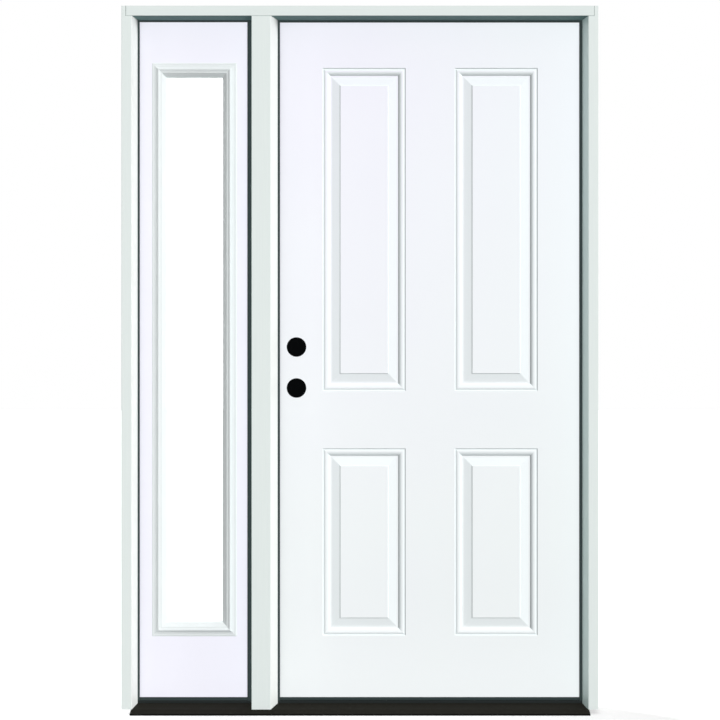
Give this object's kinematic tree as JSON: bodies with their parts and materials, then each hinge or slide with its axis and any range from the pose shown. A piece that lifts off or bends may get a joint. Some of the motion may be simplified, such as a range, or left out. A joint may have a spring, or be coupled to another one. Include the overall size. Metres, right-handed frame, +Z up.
{
  "type": "entry door with sidelight",
  "caption": "Prehung embossed steel entry door with a narrow full-glass sidelight, in one timber frame on a metal sill.",
  "frame": {"origin": "underside of the sill, on the plane of the frame's outer faces, in the middle of its width", "axes": "+X to the right seen from outside, +Y indoors, +Z up"},
  "size_m": [1.397, 0.1569, 2.073],
  "materials": {
    "frame_timber": "painted white, satin",
    "sill_metal": "dark bronze finish, satin",
    "sill_base": "moulded, matte",
    "sill_cap": "moulded, matte",
    "seal_foam": "foam with a matte skin",
    "door_steel": "primed white, smooth satin",
    "edge_timber": "planed",
    "core_foam": "rigid foam",
    "lite_frame": "moulded white, satin",
    "glass": "clear",
    "spacer": "plain",
    "hinge_steel": "satin plated"
  },
  "bodies": {
    "frame": {"left_jamb": "frame_timber", "right_jamb": "frame_timber", "head_jamb": "frame_timber", "mull_post": "frame_timber", "sill_deck": "sill_metal", "sill_base": "sill_base", "door_sill_cap": "sill_cap", "sidelight_sill_cap": "sill_cap", "sidelight_base_seal": "seal_foam", "door_lock_seal": "seal_foam", "door_hinge_seal": "seal_foam", "door_head_seal": "seal_foam", "sidelight_head_seal": "seal_foam", "sidelight_jamb_seal": "seal_foam", "sidelight_mull_seal": "seal_foam", "sidelight_outer_skin": "door_steel", "sidelight_inner_skin": "door_steel", "sidelight_left_stile": "edge_timber", "sidelight_right_stile": "edge_timber", "sidelight_bottom_rail": "edge_timber", "sidelight_top_rail": "edge_timber", "sidelight_core": "core_foam", "outer_lite_frame": "lite_frame", "inner_lite_frame": "lite_frame", "outer_glass": "glass", "inner_glass": "glass", "glass_spacer": "spacer", "bottom_hinge_frame_leaf": "hinge_steel", "middle_hinge_frame_leaf": "hinge_steel", "top_hinge_frame_leaf": "hinge_steel", "hinge_pins": "hinge_steel"},
    "door": {"door_outer_skin": "door_steel", "door_inner_skin": "door_steel", "door_lock_stile": "edge_timber", "door_hinge_stile": "edge_timber", "door_bottom_rail": "edge_timber", "door_top_rail": "edge_timber", "door_lock_block": "edge_timber", "door_core": "core_foam", "door_bottom_sweep": "seal_foam", "bottom_hinge_door_leaf": "hinge_steel", "middle_hinge_door_leaf": "hinge_steel", "top_hinge_door_leaf": "hinge_steel"}
  },
  "joints": [
    {"name": "door_swing", "type": "hinge", "parent": "frame", "child": "door", "pos_m": [0.668, 0.1234, 1.0415], "axis": [0, 0, -1], "range_deg": [0, 170]}
  ]
}
